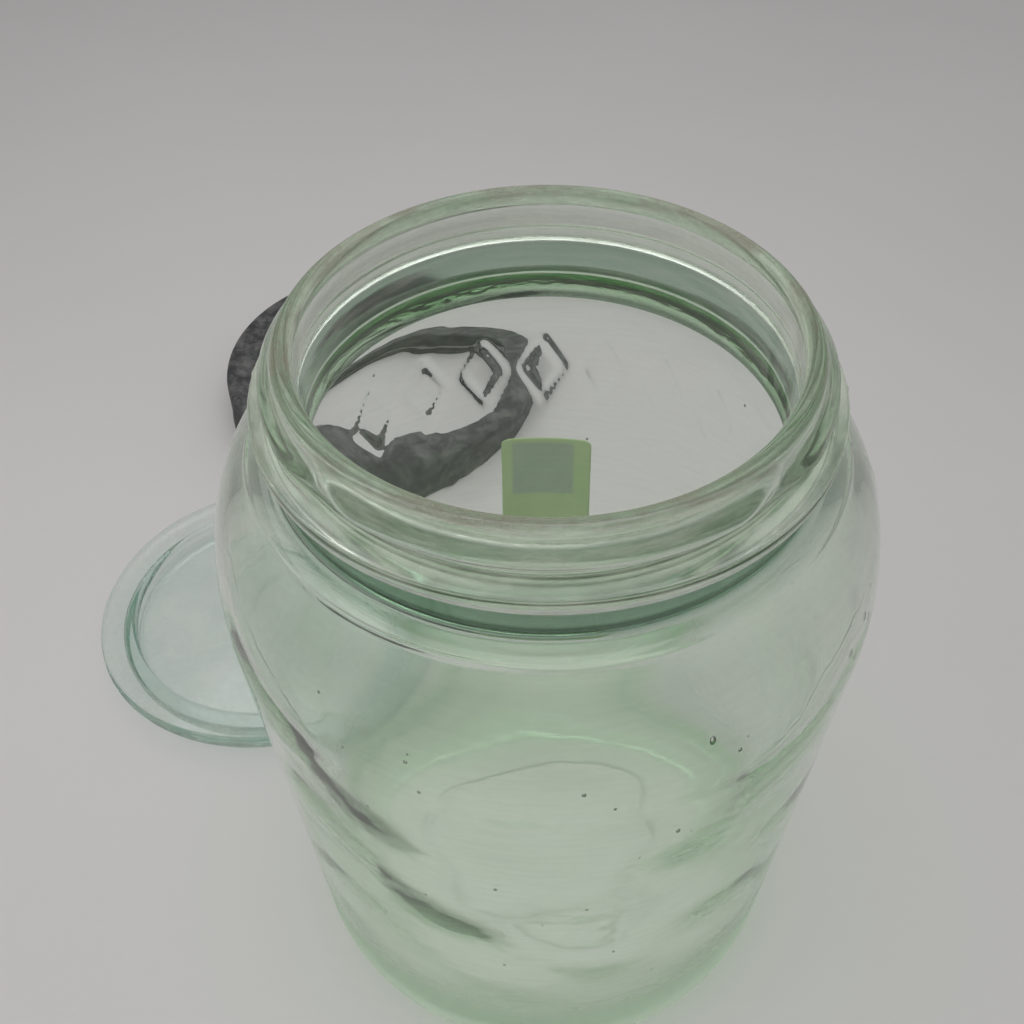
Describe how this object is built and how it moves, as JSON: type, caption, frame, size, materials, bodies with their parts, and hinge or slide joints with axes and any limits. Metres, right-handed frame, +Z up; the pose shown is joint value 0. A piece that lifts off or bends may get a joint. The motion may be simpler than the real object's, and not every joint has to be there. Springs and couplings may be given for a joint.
{
  "type": "lidded glass canister",
  "caption": "Pale green wide-mouth glass storage jar with a threaded neck, standing open beside its loose dished glass lid, dark screw ring and rubber sealing ring.",
  "frame": {"origin": "centre of the jar's foot, on the surface it stands on", "axes": "+Z up along the jar's axis, +Y towards the labelled far side, +X to the right of a person facing the jar's plain side"},
  "size_m": [0.2295, 0.3481, 0.195],
  "materials": {
    "jar_glass": "pale green pressed glass with seeds and mould seams",
    "label_paper": "coated green paper, faded",
    "lid_glass": "clear pressed glass with a faint green edge",
    "ring_moulding": "dull black moulding, worn and dusty",
    "seal_rubber": "old dark rubber"
  },
  "bodies": {
    "jar": {"glass_jar": "jar_glass", "price_label": "label_paper"},
    "lid": {"glass_lid": "lid_glass"},
    "ring": {"screw_ring": "ring_moulding"},
    "seal": {"sealing_ring": "seal_rubber"}
  },
  "joints": [
    {"name": "lid_lift", "type": "slide", "parent": "jar", "child": "lid", "axis": [-0.0787, 0.0689, 0.9945], "range_m": [0, 0.215]},
    {"name": "ring_lift", "type": "slide", "parent": "jar", "child": "ring", "axis": [0.0217, 0.1022, 0.9945], "range_m": [0, 0.215]},
    {"name": "seal_lift", "type": "slide", "parent": "ring", "child": "seal", "axis": [0, 0, 1], "range_m": [0, 0.015]}
  ]
}
